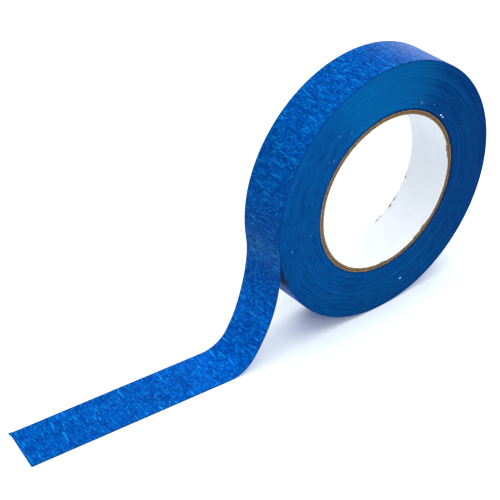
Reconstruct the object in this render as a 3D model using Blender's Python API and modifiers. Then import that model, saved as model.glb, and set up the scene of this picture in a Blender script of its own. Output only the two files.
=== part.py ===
"""A roll of crepe masking tape with its free end peeled off and lying on a table.

Frame: metres, +Z up.  The roll stands on its rim, its axis along Y.  The free end runs
towards -X.  The origin is the bottom centre of the whole part's bounding box.

The roll is a chipboard core (a paper liner and four plies) with the tape wound on it.
The last stretch of the outer turn and the free end are one flexible tape.  It is built
here as short rigid lengths, each a paper backing over an adhesive layer, that meet at
fold lines across the tape, so that the tape can be peeled, lifted and curled.
"""

from math import cos, pi, radians, sin, tan

import bmesh
import bpy
from mathutils import Vector

# ------------------------------------------------------------------ driving dimensions

MM = 0.001

TAPE_WIDTH = 23.9 * MM
TAPE_THICKNESS = 0.14 * MM
ADHESIVE_THICKNESS = 0.03 * MM
LAYER_GAP = 0.005 * MM  # between the two layers of one length of tape

CORE_RADIUS = 38.1 * MM  # a 3 inch bore
CORE_WALL = 2.28 * MM
LINER_THICKNESS = 0.25 * MM
PLY_COUNT = 4
GLUE_GAP = 0.03 * MM  # between plies, and between turns of tape

ROLL_RADIUS = 64.05 * MM  # at the end of the outer turn, where the free end leaves
FACETS = 90  # around the roll
FACET = 2 * pi / FACETS

PEEL_ANGLE = 2 * FACET  # the free end leaves this far below the roll's axis
LIFT_ARC = 5 * FACET  # each length of the outer turn that can still be peeled
LIFT_COUNT = 3

# The free end: three arcs down to the table, then flat.  Slopes are from the vertical.
DROP_RADIUS = 45.0 * MM
DROP_SLOPE = radians(6.8)  # at the end of the first arc
FLOOR_SLOPE = radians(33.8)  # where the last arc starts
FLOOR_RADIUS = 16.4 * MM
FLAT_LENGTH = 97.4 * MM
YAW = radians(5.07)  # the free end is turned this far towards +Y on the table
YAW_START = 0.33  # the turn happens over this part of the drop
YAW_END = 0.82
END_CUT = radians(3.3)  # the end is cut this far off square

DROP_FOLDS = [0.0, 16.0 * MM, 33.0 * MM, 50.5 * MM]  # fold lines above the table
FIRST_FLAT_FOLD = 69.6 * MM
FLAT_COUNT = 5
FOLD_GAP = 0.3 * MM  # between two lengths of tape

RIBBON_STEP = 2.6 * MM  # longest facet along a curved length of tape

# ------------------------------------------------------------------ derived dimensions

UNDERSIDE_RADIUS = ROLL_RADIUS - TAPE_THICKNESS  # of the free end, where it leaves


def turn_radius(upstream):
    """Outer radius of the outer turn, at this angle back from where the free end leaves.

    It shrinks by one thickness in a full turn.
    """
    return ROLL_RADIUS - TAPE_THICKNESS * upstream / (2 * pi)


def coil_radius(upstream):
    """Outer radius of the wound tape, which lies one turn lower under the lengths that lift."""
    buried = TAPE_THICKNESS if upstream < LIFT_COUNT * LIFT_ARC else 0
    return turn_radius(upstream) - buried - GLUE_GAP


TO_FLOOR = 1.5 * pi + PEEL_ANGLE  # upstream angle from the peel line to the roll's lowest point
ROLL_HEIGHT = coil_radius(TO_FLOOR) * cos(FACET / 2)

# The middle arc's radius follows from the drop that the three arcs share.
PEEL_HEIGHT = ROLL_HEIGHT - UNDERSIDE_RADIUS * sin(PEEL_ANGLE)
FIRST_DROP = DROP_RADIUS * (sin(DROP_SLOPE) + sin(PEEL_ANGLE))
LAST_DROP = FLOOR_RADIUS * (1 - sin(FLOOR_SLOPE))
MIDDLE_RADIUS = (PEEL_HEIGHT - FIRST_DROP - LAST_DROP) / (sin(FLOOR_SLOPE) - sin(DROP_SLOPE))

# Each arc of the drop: slope at its start, slope at its end, radius.
DROP_ARCS = [
    (-PEEL_ANGLE, DROP_SLOPE, DROP_RADIUS),
    (DROP_SLOPE, FLOOR_SLOPE, MIDDLE_RADIUS),
    (FLOOR_SLOPE, pi / 2, FLOOR_RADIUS),
]
DROP_LENGTH = sum((end - start) * radius for start, end, radius in DROP_ARCS)
TAPE_LENGTH = DROP_LENGTH + FLAT_LENGTH  # of the free end


def slope_and_height(s):
    """Slope from the vertical, and height of the underside, s along the free end."""
    height = PEEL_HEIGHT
    for start, end, radius in DROP_ARCS:
        length = (end - start) * radius
        if s < length:
            slope = start + s / radius
            return slope, height - radius * (sin(slope) - sin(start))
        s -= length
        height -= radius * (sin(end) - sin(start))
    return pi / 2, 0.0


def yaw(s):
    """Turn towards +Y, s along the free end."""
    part = (s / DROP_LENGTH - YAW_START) / (YAW_END - YAW_START)
    part = min(max(part, 0.0), 1.0)
    return YAW * part * part * (3 - 2 * part)


def plan_path(step=0.1 * MM):
    """Plan positions of the drop's centre line, one step apart, from the roll's axis."""
    x = -UNDERSIDE_RADIUS * cos(PEEL_ANGLE)
    y = 0.0
    points = [(x, y)]
    for i in range(int(DROP_LENGTH / step) + 1):
        middle = (i + 0.5) * step
        advance = step * sin(slope_and_height(middle)[0])
        x -= advance * cos(yaw(middle))
        y += advance * sin(yaw(middle))
        points.append((x, y))
    return points, step


PLAN, PLAN_STEP = plan_path()


def plan_position(s):
    """Plan position of the free end's centre line, s along it, from the roll's axis."""
    index = min(int(s / PLAN_STEP), len(PLAN) - 2)
    x0, y0 = PLAN[index]
    x1, y1 = PLAN[index + 1]
    part = s / PLAN_STEP - index
    return x0 + (x1 - x0) * part, y0 + (y1 - y0) * part


def tape_frame(s):
    """The underside's centre point, and the directions across and out of the tape.

    s is the distance past the peel line: negative on the roll, positive on the free end.
    x and y are measured from the roll's axis, z from the table.
    """
    if s < 0:
        upstream = -s / ROLL_RADIUS
        radius = turn_radius(upstream) - TAPE_THICKNESS
        below = PEEL_ANGLE - upstream
        out = Vector((-cos(below), 0, -sin(below)))
        return out * radius + Vector((0, 0, ROLL_HEIGHT)), Vector((0, 1, 0)), out
    slope, height = slope_and_height(s)
    turn = yaw(s)
    x, y = plan_position(s)
    along = Vector((-sin(slope) * cos(turn), sin(slope) * sin(turn), -cos(slope)))
    across = Vector((sin(turn), cos(turn), 0))
    return Vector((x, y, height)), across, across.cross(along)


def tape_point(s, across, height):
    """A point on the tape: s along it, across from its centre line, above its underside."""
    centre, across_axis, out = tape_frame(s)
    return centre + across_axis * across + out * height


def end_of_tape(across):
    return TAPE_LENGTH - across * tan(END_CUT)


# The bounding box's bottom centre is the origin.
TIP_FRONT = tape_point(end_of_tape(-TAPE_WIDTH / 2), -TAPE_WIDTH / 2, 0)
TIP_BACK = tape_point(end_of_tape(TAPE_WIDTH / 2), TAPE_WIDTH / 2, 0)
ROLL_X = -(TIP_FRONT.x + coil_radius(pi + PEEL_ANGLE)) / 2
ROLL_Y = -(TIP_BACK.y - TAPE_WIDTH / 2) / 2
ROLL_PLACE = Vector((ROLL_X, ROLL_Y, 0))

# ------------------------------------------------------------------ materials

KRAFT = (0.33, 0.2, 0.11)
COLOURS = {
    "liner": ((0.86, 0.88, 0.9), 0.6),
    "chipboard": (KRAFT, 0.9),
    "backing": ((0.002, 0.085, 0.42), 0.55),
    "adhesive": ((0.02, 0.16, 0.46), 0.35),
}


def make_materials():
    made = {}
    for name, (colour, roughness) in COLOURS.items():
        material = bpy.data.materials.new(name)
        material.use_nodes = True
        shader = material.node_tree.nodes["Principled BSDF"]
        shader.inputs["Base Color"].default_value = (*colour, 1)
        shader.inputs["Roughness"].default_value = roughness
        shader.inputs["Metallic"].default_value = 0
        made[name] = material
    return made


# ------------------------------------------------------------------ building blocks


def remove_everything():
    for item in list(bpy.data.objects):
        bpy.data.objects.remove(item, do_unlink=True)


def add_object(name, data, collection, parent, material=None):
    item = bpy.data.objects.new(name, data)
    collection.objects.link(item)
    item.parent = parent
    if material:
        data.materials.append(material)
    return item


def add_empty(name, place, collection, parent=None):
    """An empty at a world position, whatever its parent's position is."""
    empty = add_object(name, None, collection, parent)
    empty.location = place
    above = parent
    while above:
        empty.location -= above.location
        above = above.parent
    empty.empty_display_size = 10 * MM
    return empty


def turned_ring(name, inner, outer, collection, parent, material):
    """A ring about the roll's axis: a rectangular profile turned with a Screw modifier."""
    mesh = bpy.data.meshes.new(name)
    profile = bmesh.new()
    half = TAPE_WIDTH / 2
    corners = [(outer, half), (outer, -half), (inner, -half), (inner, half)]
    verts = [profile.verts.new((radius, 0, height)) for radius, height in corners]
    for i, vert in enumerate(verts):
        profile.edges.new((vert, verts[(i + 1) % len(verts)]))
    profile.to_mesh(mesh)
    profile.free()
    ring = add_object(name, mesh, collection, parent, material)
    ring.rotation_euler.x = pi / 2
    turn = ring.modifiers.new("turn", "SCREW")
    turn.axis = "Z"
    turn.angle = 2 * pi
    turn.steps = FACETS
    turn.render_steps = FACETS
    turn.use_merge_vertices = True
    turn.merge_threshold = 0.001 * MM
    turn.use_smooth_shade = True
    return ring


def shade_round(mesh):
    mesh.shade_smooth()
    mesh.set_sharp_from_angle(angle=radians(30))


def curve_loop(curve, points):
    spline = curve.splines.new("POLY")
    spline.points.add(len(points) - 1)
    for place, (x, y) in zip(spline.points, points):
        place.co = (x, y, 0, 1)
    spline.use_cyclic_u = True


def extruded_outline(name, loops, collection, parent, material):
    """A flat outline with its holes, extruded to the tape's width about its middle."""
    curve = bpy.data.curves.new(name, "CURVE")
    curve.dimensions = "2D"
    curve.fill_mode = "BOTH"
    curve.extrude = TAPE_WIDTH / 2
    for loop in loops:
        curve_loop(curve, loop)
    outline = add_object(name + "_outline", curve, collection, None)
    bpy.context.view_layer.update()
    graph = bpy.context.evaluated_depsgraph_get()
    mesh = bpy.data.meshes.new_from_object(outline.evaluated_get(graph))
    bpy.data.objects.remove(outline, do_unlink=True)
    welded = bmesh.new()
    welded.from_mesh(mesh)
    bmesh.ops.remove_doubles(welded, verts=welded.verts, dist=0.001 * MM)
    bmesh.ops.recalc_face_normals(welded, faces=welded.faces)
    welded.to_mesh(mesh)
    welded.free()
    shade_round(mesh)
    mesh.name = name
    solid = add_object(name, mesh, collection, parent, material)
    solid.rotation_euler.x = pi / 2
    return solid


def stations(start, end):
    """Distances along the tape where one length has its vertices.

    On the roll they fall on the roll's own facets, so that the two fit each other.
    """
    if end <= 0:
        facet = FACET * ROLL_RADIUS
        inside = [-i * facet for i in range(1, LIFT_COUNT * round(LIFT_ARC / FACET))]
        return [start] + sorted(s for s in inside if start < s < end) + [end]
    curved_end = min(end, DROP_LENGTH)
    if start >= DROP_LENGTH:
        return [start, end]
    count = round((curved_end - start) / RIBBON_STEP)
    places = [start + (curved_end - start) * i / count for i in range(count + 1)]
    return places if curved_end == end else places + [end]


def ribbon(name, start, end, underside, thickness, collection, parent, place, material):
    """One layer of one length of tape: a strip of surface given its thickness by Solidify."""
    along = stations(start, end)
    strip = bmesh.new()
    bmesh.ops.create_grid(strip, x_segments=len(along) - 1, y_segments=1, size=1)
    last = len(along) - 1
    for vert in strip.verts:
        s = along[round((vert.co.x + 1) / 2 * last)]
        across = vert.co.y * TAPE_WIDTH / 2
        if end == TAPE_LENGTH and s == end:
            s = end_of_tape(across)
        vert.co = tape_point(s, across, underside) + ROLL_PLACE - place
    strip.normal_update()
    out = tape_frame((along[0] + along[-1]) / 2)[2]
    if sum(face.normal.dot(out) for face in strip.faces) < 0:
        bmesh.ops.reverse_faces(strip, faces=strip.faces)
    mesh = bpy.data.meshes.new(name)
    strip.to_mesh(mesh)
    strip.free()
    shade_round(mesh)
    length = add_object(name, mesh, collection, parent, material)
    solidify = length.modifiers.new("thickness", "SOLIDIFY")
    solidify.thickness = thickness
    solidify.offset = 1
    solidify.use_even_offset = True
    return length


# ------------------------------------------------------------------ the parts


def make_core(collection, axis, materials):
    """The white liner, then the chipboard plies, each glued round the last."""
    liner_outer = CORE_RADIUS + LINER_THICKNESS
    turned_ring("core_liner", CORE_RADIUS, liner_outer, collection, axis, materials["liner"])
    board = CORE_WALL - LINER_THICKNESS - PLY_COUNT * GLUE_GAP
    ply = board / PLY_COUNT
    inner = liner_outer + GLUE_GAP
    for i in range(PLY_COUNT):
        name = f"core_ply_{i + 1}"
        turned_ring(name, inner, inner + ply, collection, axis, materials["chipboard"])
        inner += ply + GLUE_GAP


def make_wound_tape(collection, axis, materials):
    """All the turns of tape that stay on the roll, with the step where the outer turn ends."""
    inner_radius = CORE_RADIUS + CORE_WALL
    inner = []
    outer = []
    lift_facets = LIFT_COUNT * round(LIFT_ARC / FACET)
    for i in range(FACETS + 1):
        upstream = i * FACET
        angle = pi + PEEL_ANGLE - upstream
        direction = (cos(angle), sin(angle))
        radii = [coil_radius(upstream)]
        if i == lift_facets:
            radii.insert(0, coil_radius(upstream - FACET / 2))
        outer += [(radius * direction[0], radius * direction[1]) for radius in radii]
        if i < FACETS:
            inner.append((inner_radius * direction[0], inner_radius * direction[1]))
    extruded_outline("wound_tape", [outer, inner], collection, axis, materials["backing"])


def tape_lengths():
    """Each length of flexible tape: its name's stem, its number, its start and its end."""
    arc = LIFT_ARC * ROLL_RADIUS
    lengths = [
        ("outer_turn", i + 1, (i - LIFT_COUNT) * arc, (i + 1 - LIFT_COUNT) * arc)
        for i in range(LIFT_COUNT)
    ]
    flat = (TAPE_LENGTH - FIRST_FLAT_FOLD) / FLAT_COUNT
    folds = DROP_FOLDS + [FIRST_FLAT_FOLD + i * flat for i in range(FLAT_COUNT)]
    ends = folds[1:] + [TAPE_LENGTH]
    for i, (start, end) in enumerate(zip(folds, ends)):
        lengths.append(("free_end", i + 1, start, end))
    return lengths


def make_tape(collection, axis, materials):
    """The lengths of flexible tape, each on an empty on its fold line, in one chain."""
    parent = axis
    backing_underside = ADHESIVE_THICKNESS + LAYER_GAP
    backing_thickness = TAPE_THICKNESS - backing_underside
    for stem, number, start, end in tape_lengths():
        place = tape_point(start, 0, TAPE_THICKNESS / 2) + ROLL_PLACE
        fold = add_empty(f"{stem}_fold_{number}", place, collection, parent)
        first = start + FOLD_GAP / 2
        last = end if end == TAPE_LENGTH else end - FOLD_GAP / 2
        layers = [
            ("adhesive", 0.0, ADHESIVE_THICKNESS),
            ("backing", backing_underside, backing_thickness),
        ]
        for layer, underside, thickness in layers:
            name = f"{stem}_{layer}_{number}"
            material = materials[layer]
            ribbon(name, first, last, underside, thickness, collection, fold, place, material)
        parent = fold


def main():
    remove_everything()
    collection = bpy.data.collections.new("masking_tape_roll")
    bpy.context.scene.collection.children.link(collection)
    materials = make_materials()
    centre = ROLL_PLACE + Vector((0, 0, ROLL_HEIGHT))
    axis = add_empty("roll_axis", centre, collection)
    make_core(collection, axis, materials)
    make_wound_tape(collection, axis, materials)
    make_tape(collection, axis, materials)
    bpy.context.view_layer.update()


main()
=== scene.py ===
"""The look of the masking tape roll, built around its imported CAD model.

Units are metres, in the CAD model's frame.  The free end, the outer turn and the wound
tape share one tape coordinate, s: the distance along the tape past the line where it
leaves the roll, negative on the roll.
"""

from math import cos, pi, radians, sin, tan

import bpy
import numpy as np
from mathutils import Matrix, Vector


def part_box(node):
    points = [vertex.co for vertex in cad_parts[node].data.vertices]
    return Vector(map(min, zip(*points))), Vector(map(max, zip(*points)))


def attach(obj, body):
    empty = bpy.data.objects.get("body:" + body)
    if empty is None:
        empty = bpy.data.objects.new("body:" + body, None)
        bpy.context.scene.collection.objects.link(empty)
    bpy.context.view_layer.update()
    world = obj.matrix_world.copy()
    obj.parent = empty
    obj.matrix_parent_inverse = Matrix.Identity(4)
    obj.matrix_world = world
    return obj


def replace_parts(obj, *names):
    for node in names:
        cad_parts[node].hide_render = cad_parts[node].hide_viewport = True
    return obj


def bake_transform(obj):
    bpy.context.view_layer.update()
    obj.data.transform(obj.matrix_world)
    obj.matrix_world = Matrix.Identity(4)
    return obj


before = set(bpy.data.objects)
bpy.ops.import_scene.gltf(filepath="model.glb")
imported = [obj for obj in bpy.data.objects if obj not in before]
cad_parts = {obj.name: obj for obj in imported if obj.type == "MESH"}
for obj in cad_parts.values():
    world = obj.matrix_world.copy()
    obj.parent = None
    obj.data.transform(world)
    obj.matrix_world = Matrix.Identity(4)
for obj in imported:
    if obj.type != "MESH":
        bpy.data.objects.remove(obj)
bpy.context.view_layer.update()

# ------------------------------------------------------------------ sizes from the frame

MM = 0.001


def box_size(node, axis):
    """A CAD node's size along one axis."""
    low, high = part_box(node)
    return high[axis] - low[axis]


ACROSS = 1  # the axis of the roll and of the tape's width
LINER_LOW, LINER_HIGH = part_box("core_liner")
ROLL_CENTRE = (LINER_LOW + LINER_HIGH) / 2
TAPE_WIDTH = box_size("core_liner", ACROSS)
HALF_WIDTH = TAPE_WIDTH / 2
LINER_OUTER = box_size("core_liner", 0) / 2
CORE_OUTER = box_size("core_ply_4", 0) / 2

# The rest repeats the CAD model's driving dimensions, which the frame doesn't hold.
CORE_RADIUS = 38.1 * MM
TAPE_THICKNESS = 0.14 * MM
ADHESIVE_THICKNESS = 0.03 * MM
ROLL_RADIUS = 64.05 * MM
PEEL_ANGLE = radians(8)  # how far below the roll's centre the tape leaves it
LIFT_ARC = radians(20)  # each hinged length of the outer turn
LIFT_COUNT = 3
DROP_RADIUS = 45.0 * MM  # the drop's first arc, to its slope from the vertical
DROP_SLOPE = radians(6.8)
FLOOR_SLOPE = radians(33.8)  # where the last arc begins, which lays the tape flat
FLOOR_RADIUS = 16.4 * MM
FLAT_LENGTH = 97.4 * MM
YAW = radians(5.07)  # how far the laid tape is turned aside
YAW_START = 0.33  # the turn begins and ends at these parts of the drop
YAW_END = 0.82
END_CUT = radians(3.3)  # the tip is cut this far off square
DROP_FOLDS = [0.0, 16.0 * MM, 33.0 * MM, 50.5 * MM]
FIRST_FLAT_FOLD = 69.6 * MM
FLAT_COUNT = 5

# How far the tape bends before and after a fold line.
PEEL_BEND_BEFORE = 2 * MM
PEEL_BEND_AFTER = 8 * MM
FLAT_BEND = 6 * MM
TIP_BEND = 4.3 * MM

# One corner of the tip is pulled out and curls up: the length and width of tape that this
# takes, how far it is pulled, and how high it curls.
TIP_LENGTH = 4 * MM
TIP_CORNER = 2.2 * MM
TIP_POINT = 0.7 * MM
TIP_CURL = 0.5 * MM

# The relief of the creped paper, from trough to ridge, and its wrinkles' height.
CREPE_HEIGHT = 0.05 * MM
CREPE_UNDER = 0.02 * MM
WRINKLE_HEIGHT = 0.05 * MM

UNDERSIDE_RADIUS = ROLL_RADIUS - TAPE_THICKNESS
PEEL_HEIGHT = ROLL_CENTRE.z - UNDERSIDE_RADIUS * sin(PEEL_ANGLE)
FIRST_DROP = DROP_RADIUS * (sin(DROP_SLOPE) + sin(PEEL_ANGLE))
LAST_DROP = FLOOR_RADIUS * (1 - sin(FLOOR_SLOPE))
MIDDLE_RADIUS = (PEEL_HEIGHT - FIRST_DROP - LAST_DROP) / (sin(FLOOR_SLOPE) - sin(DROP_SLOPE))
DROP_ARCS = [
    (-PEEL_ANGLE, DROP_SLOPE, DROP_RADIUS),
    (DROP_SLOPE, FLOOR_SLOPE, MIDDLE_RADIUS),
    (FLOOR_SLOPE, pi / 2, FLOOR_RADIUS),
]
DROP_LENGTH = sum((end - start) * radius for start, end, radius in DROP_ARCS)
TAPE_END = DROP_LENGTH + FLAT_LENGTH
LIFT_START = -LIFT_COUNT * LIFT_ARC * ROLL_RADIUS
FULL_TURN = 2 * pi * ROLL_RADIUS

# ------------------------------------------------------------------ camera

SENSOR_WIDTH = 36  # this and the lens are in millimetres, as Blender has them
LENS = 101.6
CAMERA_DISTANCE = 651.2 * MM
CAMERA_AZIMUTH = radians(-43.99)
CAMERA_ELEVATION = radians(32.14)
CAMERA_PAN = radians(-4.727)  # to the right of the roll's centre when positive
CAMERA_TILT = radians(-2.959)
CAMERA_ROLL = radians(2.405)


def turned(first, second, angle):
    """Two perpendicular directions, turned in their plane from the first to the second."""
    return (
        first * cos(angle) + second * sin(angle),
        second * cos(angle) - first * sin(angle),
    )


def make_camera():
    """A camera that looks at the roll's centre, then turns to frame the free end too."""
    level = cos(CAMERA_ELEVATION)
    east = sin(CAMERA_AZIMUTH) * level
    south = cos(CAMERA_AZIMUTH) * level
    away = Vector((east, -south, sin(CAMERA_ELEVATION)))
    forward = -away
    right = forward.cross(Vector((0, 0, 1))).normalized()
    up = right.cross(forward)
    forward, right = turned(forward, right, CAMERA_PAN)
    forward, up = turned(forward, up, CAMERA_TILT)
    right, up = turned(right, up, CAMERA_ROLL)
    data = bpy.data.cameras.new("camera")
    data.lens = LENS
    data.sensor_width = SENSOR_WIDTH
    data.clip_start = 10 * MM
    camera = bpy.data.objects.new("camera", data)
    turn = Matrix((right, up, -forward)).transposed().to_4x4()
    camera.matrix_world = Matrix.Translation(ROLL_CENTRE + away * CAMERA_DISTANCE) @ turn
    bpy.context.scene.collection.objects.link(camera)
    bpy.context.scene.camera = camera


make_camera()

# ------------------------------------------------------------------ noise for fine relief


def lattice(i, j, seed):
    """A repeatable random number from 0 to 1 at each whole-number place.

    The place is hashed: the large numbers only stir its bits.
    """
    h = (i * 374761393 + j * 668265263 + seed * 1442695041) & 0xFFFFFFFF
    h = ((h ^ (h >> 13)) * 1274126177) & 0xFFFFFFFF
    return ((h ^ (h >> 16)) & 0xFFFFFF) / 0xFFFFFF


def eased(part):
    """0 to 1 with no jump of slope or curvature at either end."""
    return part * part * part * (part * (part * 6 - 15) + 10)


def noise(x, y, seed, period=0):
    """Smooth noise from -1 to 1 with features one unit across, repeating in x at a period."""
    i = np.floor(x).astype(np.int64)
    j = np.floor(y).astype(np.int64)
    u = eased(x - i)
    v = eased(y - j)
    after = i + 1
    if period:
        i = i % period
        after = after % period
    near = lattice(i, j, seed) * (1 - u) + lattice(after, j, seed) * u
    far = lattice(i, j + 1, seed) * (1 - u) + lattice(after, j + 1, seed) * u
    return (near * (1 - v) + far * v) * 2 - 1


def around(angle, cells, other, seed):
    """Noise round a ring, with that many features in a whole turn."""
    return noise(angle / (2 * pi) * cells, other, seed, cells)


def smooth(value, low, high):
    """0 below low, 1 above high, and smooth between them."""
    part = np.clip((value - low) / (high - low), 0, 1)
    return part * part * (3 - 2 * part)


# Each kind of wrinkle: its spacing along the tape and across it, half length and half
# width, all in millimetres, the share of cells that hold one, and its noise seed.
WRINKLES = [
    (6.5, 7.0, 5.0, 0.55, 0.6, 1100),
    (2.8, 3.2, 2.2, 0.5, 0.5, 2100),
    (1.6, 1.8, 1.1, 0.42, 0.4, 3100),
]
COARSE_PITCH = 5  # kinds spaced closer than this thin out to half along the free end,
THINNING = (10, 70)  # between these two places


def crepe(s, across):
    """The creped paper's relief and its wrinkles, both from 0 to 1.

    The relief is a fine slanted crinkle across the tape.  The wrinkles are long thin
    ridges, broken into lengths, a few millimetres apart.  Inside, as in strokes, distances
    are in millimetres.
    """
    s = s / MM
    v = across / MM
    bend = 0.6 * noise(s / 6, v / 5, 1) + 0.25 * noise(s / 1.7, v / 1.9, 2)
    ridge = 1 - np.abs(noise((s + bend) / 0.95, v / 3.2 + 40, 3))
    small = noise((s + 0.6 * bend) / 0.48, v / 1.6 + 80, 4)
    broad = noise((s + bend) / 2.6, v / 5.0 + 120, 5)
    relief = np.clip(0.42 * ridge**2 + 0.16 * small + 0.2 * broad + 0.28, 0, 1)

    wrinkles = np.zeros_like(relief)
    for kind in WRINKLES:
        wrinkles = np.maximum(wrinkles, strokes(s, v, *kind))
    return relief, wrinkles


def strokes(s, v, pitch, row, length, half, share, seed):
    """Short wavy ridges across the tape, one at most in each cell of a loose grid.

    Each ridge draws its place across and along, slant, length, presence and strength.
    """
    wave = 0.34 * noise(s / 9, v / 3.4, seed + 1) + 0.12 * noise(s / 3, v / 0.9, seed + 2)
    i = np.floor(s / pitch).astype(np.int64)
    j = np.floor(v / row).astype(np.int64)
    result = np.zeros_like(wave)
    crowd = 1 if pitch > COARSE_PITCH else 1 - 0.5 * smooth(s, *THINNING)
    for di in (-1, 0, 1):
        for dj in (-1, 0, 1):
            draw = [lattice(i + di, j + dj, seed + 10 * k) for k in range(1, 7)]
            aside = v - (j + dj + draw[0]) * row
            path = (i + di + draw[1]) * pitch + wave + aside * (draw[2] - 0.5) * 0.25
            taper = np.clip(1 - np.abs(aside) / (length * (0.35 + 0.65 * draw[3])), 0, 1)
            line = np.clip(1 - np.abs(s - path) / (half * (0.5 + 0.5 * taper)), 0, 1)
            strength = (draw[4] < share * crowd) * (0.35 + 0.65 * draw[5])
            result = np.maximum(result, line * smooth(taper, 0, 0.5) * strength)
    return result


# ------------------------------------------------------------------ where the tape runs

PLAN_STEP = 0.1 * MM


def slope_and_height(s):
    """Slope from the vertical and height of the underside, at distances on the free end."""
    slope = np.full_like(s, pi / 2)
    height = np.zeros_like(s)
    begin = 0.0
    top = PEEL_HEIGHT
    for first, last, radius in DROP_ARCS:
        length = (last - first) * radius
        inside = (s >= begin) & (s < begin + length)
        angle = first + (s[inside] - begin) / radius
        slope[inside] = angle
        height[inside] = top - radius * (np.sin(angle) - sin(first))
        begin += length
        top -= radius * (sin(last) - sin(first))
    return slope, height


def yaw(s):
    """How far the tape is turned aside, at distances on the free end."""
    return YAW * smooth(s / DROP_LENGTH, YAW_START, YAW_END)


def plan_table():
    """Distances along the drop, and the centre line's plan position at each."""
    distances = np.arange(0, DROP_LENGTH + 2 * PLAN_STEP, PLAN_STEP)
    middles = distances[:-1] + PLAN_STEP / 2
    slope, _ = slope_and_height(middles)
    turn = yaw(middles)
    outward = PLAN_STEP * np.sin(slope)
    x = np.concatenate([[0], np.cumsum(-outward * np.cos(turn))])
    y = np.concatenate([[0], np.cumsum(outward * np.sin(turn))])
    return distances, x - UNDERSIDE_RADIUS * cos(PEEL_ANGLE), y


PLAN_S, PLAN_X, PLAN_Y = plan_table()


def tape_surface(s, across, height):
    """Points of the tape, as an array: height is above its underside.

    On the roll the tape is wound in a spiral, and below is the angle below the horizontal
    at which a point lies.  Past the peel line it follows the drop and then the floor.
    """
    s, across, height = np.broadcast_arrays(s, across, height)
    s = s.astype(float)
    upstream = -s / ROLL_RADIUS
    radius = ROLL_RADIUS - TAPE_THICKNESS * (1 + upstream / (2 * pi)) + height
    below = PEEL_ANGLE - upstream
    on_roll = np.stack([-radius * np.cos(below), across, -radius * np.sin(below)], -1)
    on_roll[..., 2] += ROLL_CENTRE.z

    along = np.maximum(s, 0)
    slope, low = slope_and_height(along)
    turn = yaw(along)
    flat = np.maximum(along - PLAN_S[-1], 0)
    x = np.interp(along, PLAN_S, PLAN_X) - flat * cos(YAW)
    y = np.interp(along, PLAN_S, PLAN_Y) + flat * sin(YAW)
    out = [-np.cos(slope) * np.cos(turn), np.cos(slope) * np.sin(turn), np.sin(slope)]
    side = [np.sin(turn), np.cos(turn), np.zeros_like(turn)]
    places = [x, y, low]
    free = np.stack([p + a * across + o * height for p, a, o in zip(places, side, out)], -1)

    points = np.where((s < 0)[..., None], on_roll, free)
    points[..., 0] += ROLL_CENTRE.x
    points[..., 1] += ROLL_CENTRE.y
    return points


# ------------------------------------------------------------------ mesh building

SHARP_ANGLE = radians(50)
CUT_FACE = 0.1 * MM  # points of a profile this near the tape's edge are on a cut face


def mesh_object(name, points, faces, attributes, material):
    """A smooth-shaded object, with each attribute an array of numbers or of vectors."""
    mesh = bpy.data.meshes.new(name)
    mesh.from_pydata(points.tolist(), [], faces.tolist())
    for key, values in attributes.items():
        kind = "FLOAT" if values.ndim == 1 else "FLOAT_VECTOR"
        field = "value" if values.ndim == 1 else "vector"
        layer = mesh.attributes.new(key, kind, "POINT")
        layer.data.foreach_set(field, values.astype(np.float32).ravel())
    mesh.materials.append(material)
    mesh.update()
    mesh.shade_smooth()
    mesh.set_sharp_from_angle(angle=SHARP_ANGLE)
    item = bpy.data.objects.new(name, mesh)
    bpy.context.scene.collection.objects.link(item)
    return item


def grid_faces(rows, columns, first=0, flip=False):
    """Quads over a grid of vertices, numbered row by row from first."""
    index = first + np.arange(rows * columns).reshape(rows, columns)
    quads = np.stack([index[:-1, :-1], index[1:, :-1], index[1:, 1:], index[:-1, 1:]], -1)
    quads = quads.reshape(-1, 4)
    return quads[:, ::-1] if flip else quads


def loop_quads(upper, lower):
    """Quads that join two open rows of vertices."""
    return np.stack([upper[:-1], lower[:-1], lower[1:], upper[1:]], -1)


def ribbon(name, start, end, low, high, material, step, columns, top_relief, under_relief):
    """A closed strip of tape from start to end: an upper and a lower face, and their walls.

    low and high are the heights of its faces, step is the length of its cells, and the
    reliefs say how much the crepe raises its faces.
    """
    rows = max(3, round((end - start) / step) + 1)
    s = np.linspace(start, end, rows)[:, None]
    across = np.linspace(-HALF_WIDTH, HALF_WIDTH, columns)[None, :]
    s, across = np.broadcast_arrays(s, across)
    curl = 0.0
    if end >= TAPE_END:
        near_tip = np.clip((s - (end - TIP_LENGTH)) / TIP_LENGTH, 0, 1)
        corner = smooth(across, HALF_WIDTH - TIP_CORNER, HALF_WIDTH)
        s = s + near_tip * (TIP_POINT * corner - across * tan(END_CUT))
        curl = TIP_CURL * corner * near_tip**2
    relief, wrinkles = crepe(s, across)
    high = high + curl
    low = low + curl
    raised = top_relief * (relief - 0.5) + WRINKLE_HEIGHT * wrinkles
    top = tape_surface(s, across, high + raised)
    under = tape_surface(s, across, low + under_relief * (relief - 0.5))
    points = np.concatenate([top.reshape(-1, 3), under.reshape(-1, 3)])
    count = rows * columns
    upper = np.arange(count).reshape(rows, columns)
    lower = upper + count
    faces = np.concatenate(
        [
            grid_faces(rows, columns),
            grid_faces(rows, columns, first=count, flip=True),
            loop_quads(upper[:, 0], lower[:, 0])[:, ::-1],
            loop_quads(upper[:, -1], lower[:, -1]),
            loop_quads(upper[0], lower[0]),
            loop_quads(upper[-1], lower[-1])[:, ::-1],
        ]
    )
    tape = np.stack([s / MM, across / MM, np.zeros_like(s)], -1).reshape(-1, 3)
    attributes = {
        "tape": np.concatenate([tape, tape]),
        "relief": np.concatenate([relief.ravel(), relief.ravel()]),
        "wrinkle": np.concatenate([wrinkles.ravel(), wrinkles.ravel()]),
    }
    return mesh_object(name, points, faces, attributes, material)


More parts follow.
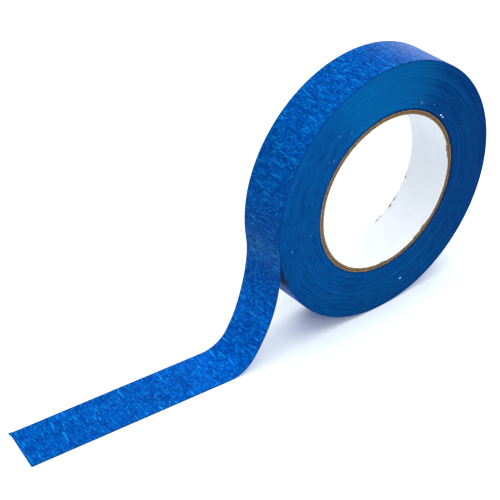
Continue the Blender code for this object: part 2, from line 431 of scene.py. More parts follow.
def lathe(name, profile, material, steps, shape):
    """A closed ring about the roll's axis from a closed profile of (radius, across) points.

    shape moves the points: it takes arrays of radius, across and angle, and returns a new
    radius and across.  The attribute "ring" keeps each point's place before the move, in
    millimetres from the roll's centre.
    """
    profile = np.array(profile, float)
    angle = np.linspace(0, 2 * pi, steps, endpoint=False)[:, None]
    radius, across, angle = np.broadcast_arrays(profile[:, 0], profile[:, 1], angle)
    ring = np.stack([radius * np.cos(angle), radius * np.sin(angle), across], -1)
    ring = ring.reshape(-1, 3) / MM
    radius, across = shape(radius, across, angle)
    points = np.stack(
        [
            ROLL_CENTRE.x + radius * np.cos(angle),
            ROLL_CENTRE.y + across,
            ROLL_CENTRE.z + radius * np.sin(angle),
        ],
        -1,
    ).reshape(-1, 3)
    count = len(profile)
    index = np.arange(steps * count).reshape(steps, count)  # closed below in both directions
    index = np.concatenate([index, index[:1]])
    index = np.concatenate([index, index[:, :1]], axis=1)
    quads = np.stack([index[:-1, :-1], index[:-1, 1:], index[1:, 1:], index[1:, :-1]], -1)
    return mesh_object(name, points, quads.reshape(-1, 4), {"ring": ring}, material)


def line(start, end, count):
    """Points from start up to, but without, end."""
    part = np.linspace(0, 1, count, endpoint=False)[:, None]
    return list(np.array(start) + part * (np.array(end) - np.array(start)))


def tube(inner, outer, low, high, counts):
    """A tube's closed profile for lathe.

    counts is the number of points on its inside, high end, outside and low end.
    """
    corners = [(inner, low), (inner, high), (outer, high), (outer, low)]
    sides = zip(corners, corners[1:] + corners[:1], counts)
    return [point for start, end, count in sides for point in line(start, end, count)]


def degrees_from(angle, centre):
    """How far each angle is from centre, in degrees, the short way round."""
    return (np.degrees(angle) - centre + 180) % 360 - 180


def hump(angle, centre, half):
    """1 at centre, falling smoothly away round it; centre and half are in degrees."""
    return np.exp(-((degrees_from(angle, centre) / half) ** 2))


def at_end(across):
    """Whether each point lies on one of the two faces where tape or core is cut."""
    return np.abs(across) > HALF_WIDTH - CUT_FACE


# ------------------------------------------------------------------ material building


def srgb(red, green, blue):
    """A colour given as 0 to 255 on a screen."""

    def linear(value):
        value /= 255
        return value / 12.92 if value <= 0.04045 else ((value + 0.055) / 1.055) ** 2.4

    return (linear(red), linear(green), linear(blue), 1)


class Nodes:
    """Shorthand for building one material's nodes."""

    def __init__(self, name):
        self.material = bpy.data.materials.new(name)
        self.material.use_nodes = True
        self.tree = self.material.node_tree
        self.shader = self.tree.nodes["Principled BSDF"]

    def add(self, kind, settings=(), **inputs):
        """A new node: its settings, and its inputs as values or links, by name or i0, i1."""
        node = self.tree.nodes.new(kind)
        for key, value in dict(settings).items():
            setattr(node, key, value)
        for key, value in inputs.items():
            self.join(value, self.socket(node, key))
        return node

    def socket(self, node, key):
        """A node's input by its number, as in i0, or by its name."""
        if key[0] == "i" and key[1:].isdigit():
            return node.inputs[int(key[1:])]
        return node.inputs[key.replace("_", " ")]

    def join(self, value, socket):
        """Link a socket, or set a plain value."""
        if isinstance(value, bpy.types.NodeSocket):
            self.tree.links.new(value, socket)
        else:
            socket.default_value = value

    def attribute(self, name, output="Vector"):
        node = self.add("ShaderNodeAttribute", {"attribute_name": name})
        return node.outputs[output]

    def parts(self, vector):
        """A vector's three values."""
        node = self.add("ShaderNodeSeparateXYZ", Vector=vector)
        return node.outputs[0], node.outputs[1], node.outputs[2]

    def ring(self):
        """Radius and place across in millimetres, angle, and its cosine and sine."""
        x, y, across = self.parts(self.attribute("ring"))
        radius = self.math("SQRT", self.plus(self.times(x, x), self.times(y, y)))
        angle = self.math("ARCTAN2", y, x)
        return radius, across, angle, self.math("COSINE", angle), self.math("SINE", angle)

    def scaled(self, x, y, z, scales, shift=0.0):
        """A vector of three values, each times its own scale, and the third then moved."""
        values = [self.times(v, k) for v, k in zip((x, y, z), scales)]
        values[2] = self.plus(values[2], shift)
        return self.vector(*values)

    def vector(self, x, y, z):
        return self.add("ShaderNodeCombineXYZ", X=x, Y=y, Z=z).outputs[0]

    def math(self, operation, a, b=0.0):
        return self.add("ShaderNodeMath", {"operation": operation}, i0=a, i1=b).outputs[0]

    def times(self, a, b):
        return self.math("MULTIPLY", a, b)

    def plus(self, a, b):
        return self.math("ADD", a, b)

    def larger(self, a, b):
        return self.math("MAXIMUM", a, b)

    def noise(self, vector, scale, detail=2.0, rough=0.5):
        """Soft noise from 0 to 1, mostly near 0.5."""
        node = self.add("ShaderNodeTexNoise", Vector=vector, Scale=scale, Detail=detail)
        node.inputs["Roughness"].default_value = rough
        return node.outputs[0]

    def span(self, value, low, high, to_low=0.0, to_high=1.0):
        """value from low..high brought smoothly to to_low..to_high; low may be the larger."""
        node = self.add("ShaderNodeMapRange", {"interpolation_type": "SMOOTHSTEP"}, Value=value)
        node.inputs[1].default_value = low
        node.inputs[2].default_value = high
        node.inputs[3].default_value = to_low
        node.inputs[4].default_value = to_high
        return node.outputs[0]

    def stretch(self, s, zone, strength=1.0):
        """A stretch of the tape: it rises from begins to full, and falls from ends to none."""
        begins, full, ends, none = zone
        return self.times(self.span(s, begins, full), self.span(s, none, ends, 0.0, strength))

    def rim(self, across, begins, full, strength=1.0):
        """The tape's two long edges: begins and full are how far inside them."""
        half = HALF_WIDTH / MM
        place = self.math("ABSOLUTE", across)
        return self.span(place, half - begins, half - full, 0.0, strength)

    def mix(self, factor, a, b, blend="MIX"):
        """Colour a, taken towards b (or towards their product) by a factor."""
        settings = {"data_type": "RGBA", "blend_type": blend}
        node = self.add("ShaderNodeMix", settings)
        self.join(factor, node.inputs[0])
        self.join(a, node.inputs[6])
        self.join(b, node.inputs[7])
        return node.outputs[2]

    def bump(self, height, distance, strength):
        """A normal from a height of 0 to 1 that stands for a distance."""
        node = self.add("ShaderNodeBump", Height=height)
        node.inputs["Distance"].default_value = distance
        node.inputs["Strength"].default_value = strength
        return node.outputs[0]

    def finish(self, **sockets):
        """Join the shader's inputs, and give the material."""
        for key, value in sockets.items():
            self.join(value, self.shader.inputs[key.replace("_", " ")])
        return self.material


# ------------------------------------------------------------------ materials

TAPE_BLUE = srgb(0, 73, 160)
TAPE_DEEP = srgb(0, 45, 120)
TAPE_BRIGHT = srgb(0, 87, 182)
# pale cyan, for the haze and for the highlights painted on ridges and wrinkles
TAPE_STREAK = srgb(12, 160, 240)
TAPE_EDGE = srgb(0, 46, 110)
TAPE_SHADE = srgb(0, 44, 92)
TAPE_HANGING_LIGHT = (1, 1.14, 1.18, 1)  # painted light: how much brighter the tape is painted where it hangs
# painted sheen, in pale lines where the tape leaves the roll
TAPE_PEEL_SHEEN = srgb(48, 128, 192)
TAPE_CREVICE_SHADE = srgb(0, 18, 60)
# painted reflection on the turn below the peel line
TAPE_REFLECTION = srgb(132, 142, 188)
TAPE_TINT = (0.15, 0.7, 1, 1)

# Stretches of the tape painted with light or shade, in millimetres along it: where each
# begins, is full, begins to fade and is gone.
SHADED = (-125, -20, 2, 30)  # painted shade where the tape is about to leave the roll
# painted light on the tape where it hangs
HANGING = (12, 40, 66, 96)
# a painted sheen across the tape at the peel line
PEEL_SHEEN = (-9, -2, 4, 11)

# The same on the turn below, past the line where the tape leaves it: painted shade in the
# crevice, then a painted reflection.
CREVICE_SHADE = (-4, 0, 16, 25)
BARED_REFLECTION = (15, 23, 36, 50)

GLUE_BLUE = srgb(14, 84, 160)
GLUE_BRIGHT = srgb(36, 112, 190)
GLUE_PALE = srgb(70, 136, 204)

SIDE_BLUE = srgb(0, 58, 119)
SIDE_DARK = srgb(0, 27, 85)
SIDE_PALE = srgb(0, 84, 145)
SIDE_SHEEN = srgb(0, 100, 160)
SIDE_SHADE = srgb(0, 22, 66)
SIDE_SCUFF = srgb(110, 165, 205)
SIDE_LINT = srgb(235, 240, 245)
SIDE_TINT = (0.1, 0.55, 1, 1)
PAINTED_LIGHT_ANGLE = radians(205)  # painted light: the cut edges are painted paler towards this angle and darker away from it
PAINTED_SHEEN_ANGLE = radians(92)  # and a painted sheen is palest here

LINER_WHITE = srgb(218, 221, 227)
LINER_SMUDGE = srgb(208, 211, 217)
LINER_FIBRE = srgb(200, 203, 212)
LINER_DOT = srgb(180, 176, 170)

BOARD_DARK = srgb(80, 52, 24)
BOARD_PALE = srgb(206, 186, 152)


def crepe_paper():
    """Blue creped paper: a fine dark and pale crinkle, partly painted shade, with bright
    wrinkles across it painted as highlights.
    """
    n = Nodes("blue crepe paper")
    s, across, _ = n.parts(n.attribute("tape"))
    relief = n.attribute("relief", "Fac")
    wrinkle = n.attribute("wrinkle", "Fac")

    warp = n.noise(n.scaled(s, across, 0.0, (0.35, 0.3, 1)), 1, 2)
    bent = n.plus(s, n.times(warp, 1.2))
    blotch = n.noise(n.scaled(bent, across, 0.0, (0.35, 0.2, 1)), 1, 3)
    fine = n.noise(n.scaled(bent, across, 0.0, (1.7, 0.9, 1), 7.0), 1, 3, 0.6)
    speck = n.noise(n.scaled(bent, across, 0.0, (1.1, 0.7, 1), 21.0), 1, 2)
    fibre = n.noise(n.scaled(s, across, 0.0, (3.5, 2.8, 1), 3.0), 1, 4, 0.65)

    # The paper, from its deepest blue up.
    colour = n.mix(n.span(blotch, 0.34, 0.64), TAPE_DEEP, TAPE_BLUE)
    colour = n.mix(n.span(fine, 0.4, 0.62, 0.0, 0.8), colour, TAPE_BRIGHT)
    colour = n.mix(n.span(fibre, 0.52, 0.7, 0.0, 0.45), colour, TAPE_DEEP)
    # Painted shade: the troughs of the relief are darker.
    colour = n.mix(n.span(relief, 0.25, 0.5, 0.45, 0.0), colour, TAPE_DEEP)

    # What stands out of it: a pale haze, and painted highlights: dots on its ridges and broken
    # streaks on its wrinkles.
    haze = n.noise(n.scaled(bent, across, 0.0, (0.9, 0.4, 1), 33.0), 1, 2)
    haze = n.span(haze, 0.48, 0.72, 0.0, 0.22)
    dots = n.times(n.span(speck, 0.58, 0.7), n.span(relief, 0.4, 0.7, 0.05, 0.3))
    broken = n.span(fibre, 0.38, 0.62, 0.4, 1.0)
    streaks = n.times(n.span(wrinkle, 0.0, 0.95), broken)
    colour = n.mix(n.larger(n.larger(dots, streaks), haze), colour, TAPE_STREAK)

    # Painted light and shade where the tape leaves the roll, along the tape and on the turn
    # below.
    colour = n.mix(n.stretch(s, SHADED, 0.3), colour, TAPE_SHADE)
    # Painted light: the hanging tape is painted brighter.
    colour = n.mix(n.stretch(s, HANGING), colour, TAPE_HANGING_LIGHT, "MULTIPLY")
    # A painted sheen of pale lines at the peel line.
    peel_sheen = n.stretch(s, PEEL_SHEEN)
    lines = n.noise(n.scaled(bent, across, 0.0, (1.7, 0.2, 1), 51.0), 1, 3, 0.7)
    peel_sheen = n.times(peel_sheen, n.span(lines, 0.5, 0.6, 0.0, 0.62))
    colour = n.mix(peel_sheen, colour, TAPE_PEEL_SHEEN)
    below = n.plus(s, FULL_TURN / MM)
    # Painted shade in the crevice under the peel line.
    colour = n.mix(n.stretch(below, CREVICE_SHADE, 0.92), colour, TAPE_CREVICE_SHADE)
    # A painted reflection of the bright floor, in pale lines past the crevice.
    reflection = n.times(n.stretch(below, BARED_REFLECTION), n.span(lines, 0.46, 0.58, 0.05, 0.6))
    colour = n.mix(reflection, colour, TAPE_REFLECTION)

    outline = n.times(n.rim(across, 0.7, 0.15), n.span(s, -60, -10, 0.15, 0.6))
    colour = n.mix(n.larger(outline, n.rim(across, 0.1, 0.02, 0.9)), colour, TAPE_EDGE)

    return n.finish(
        Base_Color=colour,
        Roughness=n.span(fine, 0.3, 0.7, 0.62, 0.45),
        Normal=n.bump(n.plus(n.times(fine, 0.6), n.times(fibre, 0.4)), 0.06 * MM, 0.6),
        Specular_IOR_Level=0.02,
        Specular_Tint=TAPE_TINT,
    )


def adhesive():
    """A thin tacky layer that shows the blue paper behind it."""
    n = Nodes("rubber adhesive")
    s, across, _ = n.parts(n.attribute("tape"))
    coarse = n.noise(n.scaled(s, across, 0.0, (0.4, 0.25, 1)), 1, 3)
    fine = n.noise(n.scaled(s, across, 0.0, (2.0, 1.1, 1), 5.0), 1, 4, 0.6)
    colour = n.mix(n.span(coarse, 0.35, 0.65), GLUE_BLUE, GLUE_BRIGHT)
    colour = n.mix(n.span(fine, 0.45, 0.7, 0.0, 0.35), colour, GLUE_PALE)
    colour = n.mix(n.rim(across, 0.3, 0.05, 0.9), colour, TAPE_EDGE)
    return n.finish(
        Base_Color=colour,
        Roughness=n.span(fine, 0.3, 0.7, 0.3, 0.5),
        Normal=n.bump(fine, 0.05 * MM, 0.5),
        Specular_IOR_Level=0.35,
    )


def wound_side():
    """The cut edges of the wound turns: fine rings in uneven bands, small scuffs, and painted
    light, shade and sheen.
    """
    n = Nodes("wound tape side")
    radius, across, angle, east, north = n.ring()
    turn = n.plus(radius, n.times(angle, TAPE_THICKNESS / MM / (2 * pi)))
    place = n.vector(n.times(radius, east), n.times(radius, north), across)

    winding = n.noise(n.scaled(turn, east, north, (2.6, 0.9, 0.9)), 1, 4, 0.75)
    band = n.noise(n.scaled(turn, east, north, (0.9, 0.7, 0.7), 9.0), 1, 3, 0.6)
    grain = n.noise(n.scaled(turn, east, north, (2.3, 10.0, 10.0), 5.0), 1, 4, 0.7)
    cloud = n.noise(place, 0.05, 2)

    # Rings, with painted shade away from the lit side and a painted sheen at the top.
    toward_light = n.math("COSINE", n.math("SUBTRACT", angle, PAINTED_LIGHT_ANGLE))
    top = n.math("COSINE", n.math("SUBTRACT", angle, PAINTED_SHEEN_ANGLE))
    dark = n.larger(n.span(cloud, 0.3, 0.7, 0.1, 0.3), n.span(toward_light, 0.6, -0.8, 0.0, 0.6))
    colour = n.mix(dark, SIDE_BLUE, SIDE_DARK)
    colour = n.mix(n.span(band, 0.35, 0.65, 0.0, 0.25), colour, SIDE_DARK)
    colour = n.mix(n.span(winding, 0.5, 0.64, 0.0, 0.6), colour, SIDE_DARK)
    colour = n.mix(n.span(winding, 0.5, 0.38, 0.0, 0.5), colour, SIDE_PALE)
    pale = n.times(n.span(grain, 0.42, 0.6, 0.05, 0.55), n.span(dark, 0.0, 0.8, 1.0, 0.4))
    colour = n.mix(pale, colour, SIDE_PALE)
    colour = n.mix(n.span(top, 0.75, 1.0, 0.0, 0.38), colour, SIDE_SHEEN)

    # Scuffs, broken by the grain, and finer specks everywhere.
    spots = n.times(n.span(n.noise(place, 0.4, 2), 0.72, 0.78), 0.3)
    spots = n.larger(spots, n.times(n.attribute("scuff", "Fac"), 0.55))
    spots = n.times(spots, n.span(grain, 0.46, 0.58))
    spots = n.larger(spots, n.span(n.noise(place, 1.3, 2), 0.7, 0.78, 0.0, 0.2))
    colour = n.mix(spots, colour, SIDE_SCUFF)

    # Painted shade on the turns next to the core, deeper away from the lit side, and on those
    # at the outside; and the lint.
    inner = n.span(radius, CORE_OUTER / MM + 1.4, CORE_OUTER / MM + 0.4)
    inner = n.times(inner, n.span(toward_light, 0.7, -0.5, 0.35, 0.9))
    outer = n.span(radius, ROLL_RADIUS / MM - 0.9, ROLL_RADIUS / MM - 0.2, 0.0, 0.35)
    colour = n.mix(n.larger(inner, outer), colour, SIDE_SHADE)
    colour = n.mix(n.span(n.attribute("lint", "Fac"), 0.1, 0.4), colour, SIDE_LINT)

    return n.finish(
        Base_Color=colour,
        Roughness=n.span(winding, 0.3, 0.7, 0.5, 0.68),
        Normal=n.bump(n.plus(n.times(winding, 0.7), n.times(grain, 0.3)), 0.08 * MM, 0.6),
        Specular_IOR_Level=0.015,
        Specular_Tint=SIDE_TINT,
    )


def liner_paper():
    """The white paper that lines the core: soft smudges and faint fibres."""
    n = Nodes("white liner paper")
    _, across, _, east, north = n.ring()
    fibre = n.noise(n.scaled(east, north, across, (55, 55, 4.0)), 1, 4, 0.6)
    smudge = n.noise(n.scaled(east, north, across, (3.5, 3.5, 0.22)), 1, 3)
    dot = n.noise(n.scaled(east, north, across, (14, 14, 0.5), 40.0), 1, 2)
    colour = n.mix(n.span(smudge, 0.5, 0.75, 0.0, 0.5), LINER_WHITE, LINER_SMUDGE)
    colour = n.mix(n.span(fibre, 0.5, 0.8, 0.0, 0.3), colour, LINER_FIBRE)
    colour = n.mix(n.span(dot, 0.72, 0.78, 0.0, 0.4), colour, LINER_DOT)
    return n.finish(
        Base_Color=colour,
        Roughness=n.span(fibre, 0.3, 0.7, 0.7, 0.85),
        Normal=n.bump(fibre, 0.05 * MM, 0.4),
        Specular_IOR_Level=0.3,
    )


def chipboard(name, light, dark, shift):
    """One ply of brown chipboard, mottled where it is cut; shift varies its mottling."""
    n = Nodes(name)
    radius, across, _, east, north = n.ring()
    fibre = n.noise(n.scaled(east, north, radius, (34, 34, 3.0), shift), 1, 4, 0.65)
    speck = n.noise(n.scaled(east, north, across, (70, 70, 1.0), 31 * shift), 1, 3, 0.7)
    colour = n.mix(n.span(fibre, 0.35, 0.65), dark, light)
    colour = n.mix(n.span(speck, 0.52, 0.68, 0.0, 0.75), colour, BOARD_DARK)
    colour = n.mix(n.span(speck, 0.42, 0.3, 0.0, 0.5), colour, BOARD_PALE)
    return n.finish(
        Base_Color=colour,
        Roughness=n.span(fibre, 0.3, 0.7, 0.75, 0.92),
        Normal=n.bump(n.plus(fibre, speck), 0.1 * MM, 0.8),
        Specular_IOR_Level=0.2,
    )


CREPE = crepe_paper()
ADHESIVE = adhesive()
WOUND_SIDE = wound_side()
LINER = liner_paper()
PLIES = [
    chipboard("chipboard ply 1", srgb(142, 124, 96), srgb(102, 80, 52), 1.0),
    chipboard("chipboard ply 2", srgb(128, 97, 58), srgb(82, 57, 28), 2.0),
    chipboard("chipboard ply 3", srgb(118, 89, 52), srgb(72, 50, 25), 3.0),
    chipboard("chipboard ply 4", srgb(156, 128, 87), srgb(110, 82, 49), 4.0),
]

# ------------------------------------------------------------------ the core

# Where the liner's edge is torn back, as the side (-1 is the front), the angle round
# the axis, half the tear's width in degrees, and its depth.
TEARS = [
    (-1, 9, 5, 0.5 * MM),
    (-1, 14, 2, 0.8 * MM),
    (-1, -49, 4, 0.6 * MM),
    (-1, -58, 2, 0.5 * MM),
    (-1, 160, 6, 0.3 * MM),
    (1, 24, 4, 0.5 * MM),
    (1, -24, 3, 0.9 * MM),
    (1, -42, 4, 0.9 * MM),
    (1, -49, 2.5, 1.2 * MM),
    (1, -62, 4, 0.9 * MM),
    (1, -84, 6, 0.6 * MM),
    (1, -99, 3, 0.4 * MM),
]
EDGE_FRAY = 0.1 * MM  # how far its whole edge is frayed
EDGE_REACH = 4 * MM  # how far in from its edges the liner is drawn back and loose
LINER_LOOSE = 0.06 * MM
LINER_WAVE = 0.05 * MM
WAVE_SPACING = 6 * MM

# The flap of liner that has come loose: its place and half width in degrees, how far it
# stands up, and its length.
FLAP_ANGLE = -92
FLAP_HALF = 2.6
FLAP_HEIGHT = 0.5 * MM
FLAP_REACH = 2 * MM

# How far the plies' cut ends stand back from the tape's, their roughness, the spacing of
# its coarse and fine part through the wall, and the gap between plies.
PLY_SETBACK = 0.16 * MM
PLY_ROUGHNESS = 0.09 * MM
PLY_COARSE = 0.3 * MM
PLY_FINE = 0.12 * MM
PLY_GAP = 0.03 * MM


def build_liner():
    """A thin white tube, torn back here and there along its edges, with one loose flap."""

    def shape(radius, across, angle):
        side = np.sign(across)
        same = np.zeros_like(across)
        reach = smooth(np.abs(across), HALF_WIDTH - EDGE_REACH, HALF_WIDTH)
        ragged = 1 + 0.5 * around(angle, 230, same, 31) + 0.3 * around(angle, 700, same, 32)
        depth = EDGE_FRAY * ragged
        for edge, centre, half, tear in TEARS:
            depth = depth + tear * hump(angle, centre, half) * (side == edge) * ragged
        flap = hump(angle, FLAP_ANGLE, FLAP_HALF) * (side < 0)
        lift = FLAP_HEIGHT * flap * smooth(np.abs(across), HALF_WIDTH - FLAP_REACH, HALF_WIDTH)
        wave = LINER_WAVE * around(angle, 32, across / WAVE_SPACING, 34)
        loose = LINER_LOOSE * reach * np.abs(around(angle, 90, side * 4.0, 33))
        return radius - lift - np.abs(wave) - loose, across - side * reach * depth

    counts = (48, 2, 48, 2)
    profile = tube(CORE_RADIUS, LINER_OUTER, -HALF_WIDTH, HALF_WIDTH, counts)
    item = lathe("liner", profile, LINER, steps=900, shape=shape)
    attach(item, "roll")
    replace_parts(item, "core_liner")


def build_ply(number):
    """A chipboard tube whose cut ends are rough and stand a little back."""
    node = f"core_ply_{number}"
    outer = box_size(node, 0) / 2
    inner = outer - (CORE_OUTER - LINER_OUTER) / len(PLIES) + PLY_GAP

    def shape(radius, across, angle):
        side = np.sign(across)
        rough = around(angle, 300, radius / PLY_COARSE + side * 7, 40 + number)
        rough = rough + 0.6 * around(angle, 840, radius / PLY_FINE, 50 + number)
        back = PLY_SETBACK + PLY_ROUGHNESS * rough
        return radius, across - side * at_end(across) * back

    profile = tube(inner, outer, -HALF_WIDTH, HALF_WIDTH, counts=(4, 5, 4, 5))
    item = lathe(f"ply_{number}", profile, PLIES[number - 1], steps=1080, shape=shape)
    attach(item, "roll")
    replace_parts(item, node)


build_liner()
for number in (1, 2, 3, 4):
    build_ply(number)

# ------------------------------------------------------------------ the wound tape

# Small marks on the front face, as the angle round the axis in degrees, the radius, the
# half width round the face, the half width across the turns, and whether it is lint.
MARKS = [
    (43, 42.7 * MM, 0.5 * MM, 0.35 * MM, True),
    (40.3, 42.6 * MM, 0.45 * MM, 0.3 * MM, True),
    (-77.8, 54.3 * MM, 0.6 * MM, 0.3 * MM, True),
    (65.4, 43.9 * MM, 1.5 * MM, 0.5 * MM, False),
    (66.5, 44.8 * MM, 0.5 * MM, 1.3 * MM, False),
    (53.3, 44.8 * MM, 0.9 * MM, 0.4 * MM, False),
    (126.8, 50.7 * MM, 0.6 * MM, 0.9 * MM, False),
    (140.2, 46.5 * MM, 0.7 * MM, 1.0 * MM, False),
    (138.2, 44.6 * MM, 0.6 * MM, 0.4 * MM, False),
    (120.4, 46.4 * MM, 0.6 * MM, 0.6 * MM, False),
    (-172, 57.0 * MM, 0.5 * MM, 0.4 * MM, False),
]
MARK_REACH = 1.2  # a mark is full near its middle, and gone at this many half widths

# How far the cut turns stand back from the tape's edge, how uneven they are, and how high
# the lint is.
FACE_SETBACK = 0.09 * MM
FACE_RELIEF = 0.045 * MM
LINT_HEIGHT = 0.25 * MM

# The side faces begin just off the core and end inside the last full turn, which goes this
# deep.
CORE_GAP = 0.01 * MM
FACE_INSET = 0.3 * MM
TURN_DEPTH = 0.35 * MM


def marks(radius, angle, lint):
    """How strongly each place of the front face is marked, from 0 to 1."""
    result = np.zeros_like(radius)
    for centre, middle, wide, high, is_lint in MARKS:
        if is_lint == lint:
            aside = np.radians(degrees_from(angle, centre)) * middle / wide
            spot = MARK_REACH - np.hypot(aside, (radius - middle) / high)
            result = np.maximum(result, np.clip(spot, 0, 1))
    return result


def mark_face(item):
    """Give the front half its lint and scuffs, as attributes for the material."""
    ring = np.zeros(3 * len(item.data.vertices), np.float32)
    item.data.attributes["ring"].data.foreach_get("vector", ring)
    x, y, _ = ring.reshape(-1, 3).T * MM
    for key in ("lint", "scuff"):
        values = marks(np.hypot(x, y), np.arctan2(y, x), key == "lint")
        layer = item.data.attributes.new(key, "FLOAT", "POINT")
        layer.data.foreach_set("value", values.astype(np.float32))


def build_side(name, side):
    """Half of the wound tape: its side face is made of uneven rings of turns."""

    def shape(radius, across, angle):
        turn = (radius + angle / (2 * pi) * TAPE_THICKNESS) / MM
        at_face = at_end(across)
        bands = 0.5 * around(angle, 5, turn / 1.7, 60) + 0.4 * around(angle, 9, turn / 0.6, 61)
        bands = bands + 0.2 * around(angle, 40, turn / 0.3, 62)
        across = across - side * at_face * (FACE_SETBACK + FACE_RELIEF * bands)
        if side < 0:
            lint = marks(radius, angle, True) * at_face
            lint = lint * (1 + 0.4 * around(angle, 900, radius, 64))
            across = across + side * LINT_HEIGHT * lint
        return radius, across

    inner = CORE_OUTER + CORE_GAP
    outer = ROLL_RADIUS - FACE_INSET
    profile = tube(inner, outer, 0, side * HALF_WIDTH, counts=(2, 110, 2, 2))
    if side < 0:
        profile = profile[::-1]
    item = lathe(name, profile, WOUND_SIDE, steps=720, shape=shape)
    if side < 0:
        mark_face(item)
    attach(item, "roll")
    return item


def build_wound_tape():
    """The last full turn that stays on the roll, and the two halves of the turns below.

    The last turn is laid in two lengths, each a half turn.
    """
    half_turn = FULL_TURN / 2
    for i, name in enumerate(("wound_turn_far", "wound_turn_near")):
        start = LIFT_START - PEEL_BEND_BEFORE - FULL_TURN + i * half_turn
        turn = ribbon(
            name,
            start,
            start + half_turn,
            low=-TURN_DEPTH,
            high=TAPE_THICKNESS,
            material=CREPE,
            step=0.25 * MM,
            columns=49,
            top_relief=CREPE_HEIGHT,
            under_relief=0,
        )
        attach(turn, "roll")
        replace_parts(turn, "wound_tape")
    for name, side in (("wound_front", -1), ("wound_back", 1)):
        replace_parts(build_side(name, side), "wound_tape")


build_wound_tape()

# ------------------------------------------------------------------ the free end


def fold_lines():
    """The tape coordinates of the fold lines, from the roll to the tip."""
    lift = [LIFT_START + i * LIFT_ARC * ROLL_RADIUS for i in range(LIFT_COUNT)]
    spacing = (TAPE_END - FIRST_FLAT_FOLD) / FLAT_COUNT
    return lift + DROP_FOLDS + [FIRST_FLAT_FOLD + i * spacing for i in range(FLAT_COUNT)]


def chain_bodies():
    """The bodies in order, from the roll to the tip."""
    outer = [f"outer_turn_{i + 1}" for i in range(LIFT_COUNT)]
    free = [f"free_end_{i + 1}" for i in range(len(DROP_FOLDS) + FLAT_COUNT)]
    return ["roll"] + outer + free


def piece_ends(folds):
    """Where each length of tape begins, and the tip.

    On the roll and where the tape leaves it, a length begins just before its fold line, so
    that it hardly bends into the roll.  The length at the peel line ends three quarters of
    the way to the next fold line.  Beyond, the lengths meet midway between fold lines.
    """
    stuck = [fold - PEEL_BEND_BEFORE for fold in folds[: LIFT_COUNT + 1]]
    peel, after = folds[LIFT_COUNT], folds[LIFT_COUNT + 1]
    free = folds[LIFT_COUNT + 1 :]
    middles = [(a + b) / 2 for a, b in zip(free, free[1:])]
    return stuck + [peel + 0.75 * (after - peel)] + middles + [TAPE_END]


def bend_zone(start, fold, end):
    """The stretch of a length of tape that bends.

    It lies mostly past the fold line where the tape sticks to the roll, is the whole length
    in the drop, and lies close about the fold line where the tape is on the floor.
    """
    if fold <= 0:
        return start, fold + PEEL_BEND_AFTER
    if fold < FIRST_FLAT_FOLD:
        return start, end
    reach = TIP_BEND if end == TAPE_END else FLAT_BEND
    return fold - reach, fold + reach


def build_tape_piece(index, upstream, body, start, fold, end):
    """One length of tape at its fold line: creped backing over adhesive."""
    backing = ribbon(
        f"tape_backing_{index}",
        start,
        end,
        low=ADHESIVE_THICKNESS,
        high=TAPE_THICKNESS,
        material=CREPE,
        step=0.15 * MM,
        columns=61,
        top_relief=CREPE_HEIGHT,
        under_relief=CREPE_UNDER,
    )
    glue = ribbon(
        f"tape_adhesive_{index}",
        start,
        end,
        low=0,
        high=ADHESIVE_THICKNESS,
        material=ADHESIVE,
        step=0.3 * MM,
        columns=41,
        top_relief=CREPE_UNDER,
        under_relief=0,
    )
    zone = bend_zone(start, fold, end)
    first, last = [tape_surface(np.array(s), 0.0, 0.0).tolist() for s in zone]
    for item, kind in ((backing, "backing"), (glue, "adhesive")):
        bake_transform(item)
        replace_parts(item, body_node(body, kind))
        if upstream != "roll":
            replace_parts(item, body_node(upstream, kind))
    return backing.name


def body_node(body, kind):
    """The CAD node of that kind on a body: outer_turn_2 has outer_turn_backing_2."""
    stem, number = body.rsplit("_", 1)
    return f"{stem}_{kind}_{number}"


def build_tape():
    """The tape, length by length, from the roll to the tip."""
    folds = fold_lines()
    ends = piece_ends(folds)
    bodies = chain_bodies()
    previous = "wound_turn_near"
    for i, fold in enumerate(folds):
        previous = build_tape_piece(
            i + 1, bodies[i], bodies[i + 1], ends[i], fold, ends[i + 1]
        )


build_tape()

# ------------------------------------------------------------------ floor and light

FLOOR_REACH = 6  # metres from its middle to its edges
FLOOR_GAP = 0.2 * MM  # it lies this far below the tape, which dips a little when it bends
FLOOR_PALE = (0.905, 0.945, 0.955, 1)
FLOOR_DARK = (0.90, 0.94, 0.95, 1)
SKY = (0.86, 0.97, 1, 1)
SKY_STRENGTH = 0.33


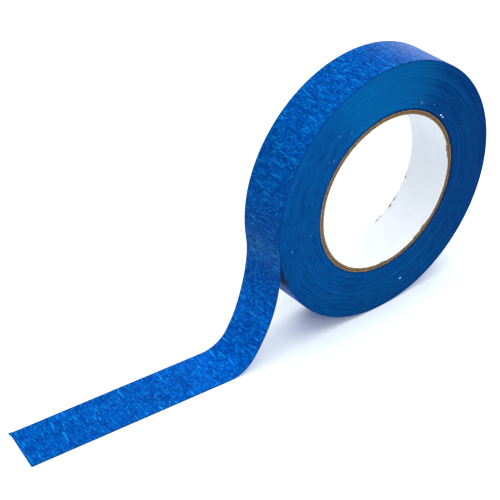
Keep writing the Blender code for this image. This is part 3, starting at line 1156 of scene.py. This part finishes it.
def build_floor():
    """A large pale floor."""
    mesh = bpy.data.meshes.new("floor")
    corners = [(-1, -1, 0), (1, -1, 0), (1, 1, 0), (-1, 1, 0)]
    mesh.from_pydata([Vector(corner) * FLOOR_REACH for corner in corners], [], [(0, 1, 2, 3)])
    floor = bpy.data.objects.new("floor", mesh)
    n = Nodes("pale floor")
    place = n.add("ShaderNodeTexCoord").outputs["Object"]
    tone = n.span(n.noise(place, 3, 3), 0.3, 0.7)
    colour = n.mix(tone, FLOOR_DARK, FLOOR_PALE)
    mesh.materials.append(n.finish(Base_Color=colour, Roughness=0.9, Specular_IOR_Level=0.1))
    bpy.context.scene.collection.objects.link(floor)
    floor.location.z = -FLOOR_GAP


def area_light(name, place, aim, size, power, spread=pi):
    """A rectangular lamp that the camera doesn't see, aimed at a point."""
    data = bpy.data.lights.new(name, "AREA")
    data.shape = "RECTANGLE"
    data.size, data.size_y = size
    data.energy = power
    data.spread = spread
    light = bpy.data.objects.new(name, data)
    light.visible_camera = False
    place = Vector(place)
    light.location = place
    light.rotation_euler = (Vector(aim) - place).to_track_quat("-Z", "Y").to_euler()
    bpy.context.scene.collection.objects.link(light)


def sun_light(name, direction, width, power):
    """A sun as wide as a studio's soft box, shining from a direction."""
    data = bpy.data.lights.new(name, "SUN")
    data.angle = width
    data.energy = power
    light = bpy.data.objects.new(name, data)
    light.rotation_euler = Vector(direction).to_track_quat("Z", "Y").to_euler()
    bpy.context.scene.collection.objects.link(light)


def build_light():
    """A pale sky, a broad light overhead, a small near lamp at the left and one behind."""
    world = bpy.data.worlds.new("studio")
    world.use_nodes = True
    background = world.node_tree.nodes["Background"]
    background.inputs["Color"].default_value = SKY
    background.inputs["Strength"].default_value = SKY_STRENGTH
    bpy.context.scene.world = world
    sun_light("overhead", direction=(0.06, 0.04, 1), width=radians(82), power=3.33)
    area_light(
        "left",
        place=(-0.02, -0.21, 0.16),
        aim=(0.03, ROLL_CENTRE.y, 0.08),
        size=(0.1, 0.1),
        power=0.09,
        spread=radians(95),
    )
    area_light(
        "back",
        place=(0.55, 0.45, 0.12),
        aim=(0.06, 0, 0.12),
        size=(0.4, 0.2),
        power=1.6,
    )


build_floor()
build_light()
bpy.context.scene.view_settings.view_transform = "Standard"
